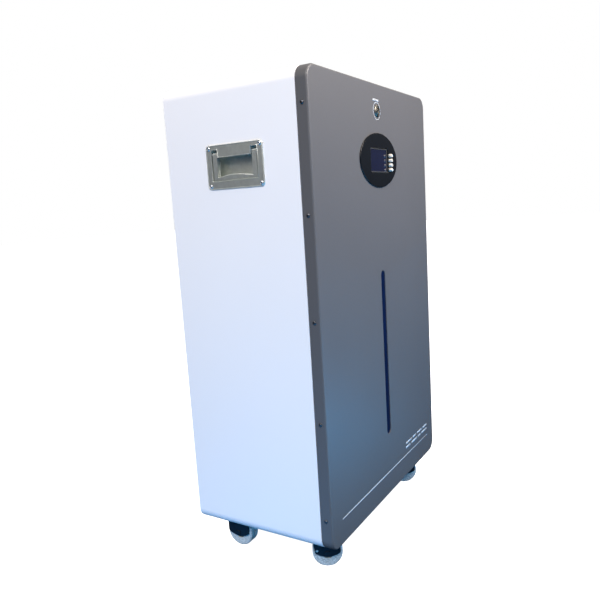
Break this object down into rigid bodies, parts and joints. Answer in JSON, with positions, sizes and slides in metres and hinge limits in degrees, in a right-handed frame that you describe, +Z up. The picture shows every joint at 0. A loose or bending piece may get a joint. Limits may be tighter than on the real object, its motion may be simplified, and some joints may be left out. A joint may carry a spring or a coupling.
{
  "type": "battery storage cabinet",
  "caption": "Floor-standing battery cabinet on swivel casters, with a rounded sheet-metal case, oval display panel, push buttons, side drop handles and rear terminals.",
  "frame": {"origin": "on the floor, at the middle of the whole object's box", "axes": "+Z up, +X to the right as seen facing the front cover, front cover facing -Y, rear terminals pointing +Y"},
  "size_m": [0.4554, 0.288, 0.776],
  "materials": {
    "white_powder_coat": "satin white powder coat, very fine texture",
    "grey_powder_coat": "satin dark grey powder coat, very fine texture",
    "zinc_plated_steel": "zinc plated",
    "dark_screw_steel": "blackened",
    "pressed_steel": "satin stainless sheet",
    "polished_steel": "polished stainless",
    "black_acrylic": "gloss black",
    "screen_glass": "dark blue screen behind glass",
    "smoked_acrylic": "smoked, nearly black",
    "circuit_board": "green solder mask",
    "silver_plastic": "silver",
    "cell_aluminium": "mill finish",
    "bare_copper": "bare copper",
    "terminal_brass": "plated brass",
    "black_plastic": "moulded",
    "light_plastic": "moulded, light grey",
    "black_fork_steel": "black coated pressed steel",
    "grey_nylon": "moulded, light grey",
    "grey_tread_rubber": "light grey moulded rubber"
  },
  "bodies": {
    "cabinet": {"base_plate": "zinc_plated_steel", "battery_cells": "cell_aluminium", "bms_board": "circuit_board", "bms_heat_sink": "cell_aluminium", "body_sleeve": "white_powder_coat", "breaker_body": "light_plastic", "busbar_nuts": "zinc_plated_steel", "busbars": "bare_copper", "caster_kingpins": "zinc_plated_steel", "caster_plates": "zinc_plated_steel", "caster_screws": "zinc_plated_steel", "cell_spacers": "black_plastic", "comm_sockets": "black_plastic", "cover_screws": "dark_screw_steel", "display_board": "circuit_board", "display_panel": "black_acrylic", "end_plates": "cell_aluminium", "front_cover": "grey_powder_coat", "front_frame": "zinc_plated_steel", "ground_stud": "terminal_brass", "handle_dish_left": "pressed_steel", "handle_dish_right": "pressed_steel", "handle_pins": "zinc_plated_steel", "handle_rivets": "pressed_steel", "lcd_module": "screen_glass", "light_board": "circuit_board", "light_window": "smoked_acrylic", "main_bars": "bare_copper", "power_button_body": "polished_steel", "power_button_nut": "polished_steel", "rear_frame": "zinc_plated_steel", "rear_panel": "white_powder_coat", "rear_screws": "zinc_plated_steel", "terminal_insulators": "black_plastic", "terminal_studs": "terminal_brass", "tie_rods": "zinc_plated_steel"},
    "power_button": {"power_button_cap": "polished_steel"},
    "menu_1": {"menu_button_1": "silver_plastic"},
    "menu_2": {"menu_button_2": "silver_plastic"},
    "menu_3": {"menu_button_3": "silver_plastic"},
    "menu_4": {"menu_button_4": "silver_plastic"},
    "bail_left": {"handle_bail_left": "pressed_steel"},
    "bail_right": {"handle_bail_right": "pressed_steel"},
    "toggle": {"breaker_toggle": "black_plastic"},
    "swivel_front_left": {"fork_front_left": "black_fork_steel", "axle_front_left": "black_fork_steel"},
    "wheel_front_left": {"hub_front_left": "grey_nylon", "tread_front_left": "grey_tread_rubber"},
    "swivel_front_right": {"fork_front_right": "black_fork_steel", "axle_front_right": "black_fork_steel"},
    "wheel_front_right": {"hub_front_right": "grey_nylon", "tread_front_right": "grey_tread_rubber"},
    "swivel_rear_left": {"fork_rear_left": "black_fork_steel", "axle_rear_left": "black_fork_steel"},
    "wheel_rear_left": {"hub_rear_left": "grey_nylon", "tread_rear_left": "grey_tread_rubber"},
    "swivel_rear_right": {"fork_rear_right": "black_fork_steel", "axle_rear_right": "black_fork_steel"},
    "wheel_rear_right": {"hub_rear_right": "grey_nylon", "tread_rear_right": "grey_tread_rubber"}
  },
  "joints": [
    {"name": "power_button_press", "type": "slide", "parent": "cabinet", "child": "power_button", "axis": [0, 1, 0], "range_m": [0, 0.002], "stiffness_N_per_m": 600},
    {"name": "menu_1_press", "type": "slide", "parent": "cabinet", "child": "menu_1", "axis": [0, 1, 0], "range_m": [0, 0.0008], "stiffness_N_per_m": 600},
    {"name": "menu_2_press", "type": "slide", "parent": "cabinet", "child": "menu_2", "axis": [0, 1, 0], "range_m": [0, 0.0008], "stiffness_N_per_m": 600},
    {"name": "menu_3_press", "type": "slide", "parent": "cabinet", "child": "menu_3", "axis": [0, 1, 0], "range_m": [0, 0.0008], "stiffness_N_per_m": 600},
    {"name": "menu_4_press", "type": "slide", "parent": "cabinet", "child": "menu_4", "axis": [0, 1, 0], "range_m": [0, 0.0008], "stiffness_N_per_m": 600},
    {"name": "bail_left_swing", "type": "hinge", "parent": "cabinet", "child": "bail_left", "pos_m": [-0.2226, -0.007, 0.6684], "axis": [0, 1, 0], "range_deg": [0, 90]},
    {"name": "bail_right_swing", "type": "hinge", "parent": "cabinet", "child": "bail_right", "pos_m": [0.2226, -0.007, 0.6684], "axis": [0, -1, 0], "range_deg": [0, 90]},
    {"name": "breaker_throw", "type": "hinge", "parent": "cabinet", "child": "toggle", "pos_m": [0, 0.119, 0.717], "axis": [0, 0, -1], "range_deg": [0, 50]},
    {"name": "swivel_front_left", "type": "hinge", "parent": "cabinet", "child": "swivel_front_left", "pos_m": [-0.168, -0.075, 0.0545], "axis": [0, 0, 1], "continuous": true},
    {"name": "roll_front_left", "type": "hinge", "parent": "swivel_front_left", "child": "wheel_front_left", "pos_m": [-0.15976, -0.08872, 0.025], "axis": [0.8572, 0.515, 0], "continuous": true},
    {"name": "swivel_front_right", "type": "hinge", "parent": "cabinet", "child": "swivel_front_right", "pos_m": [0.168, -0.075, 0.0545], "axis": [0, 0, 1], "continuous": true},
    {"name": "roll_front_right", "type": "hinge", "parent": "swivel_front_right", "child": "wheel_front_right", "pos_m": [0.17624, -0.08872, 0.025], "axis": [0.8572, 0.515, 0], "continuous": true},
    {"name": "swivel_rear_left", "type": "hinge", "parent": "cabinet", "child": "swivel_rear_left", "pos_m": [-0.168, 0.061, 0.0545], "axis": [0, 0, 1], "continuous": true},
    {"name": "roll_rear_left", "type": "hinge", "parent": "swivel_rear_left", "child": "wheel_rear_left", "pos_m": [-0.168, 0.077, 0.025], "axis": [1, 0, 0], "continuous": true},
    {"name": "swivel_rear_right", "type": "hinge", "parent": "cabinet", "child": "swivel_rear_right", "pos_m": [0.168, 0.061, 0.0545], "axis": [0, 0, 1], "continuous": true},
    {"name": "roll_rear_right", "type": "hinge", "parent": "swivel_rear_right", "child": "wheel_rear_right", "pos_m": [0.168, 0.077, 0.025], "axis": [1, 0, 0], "continuous": true}
  ]
}
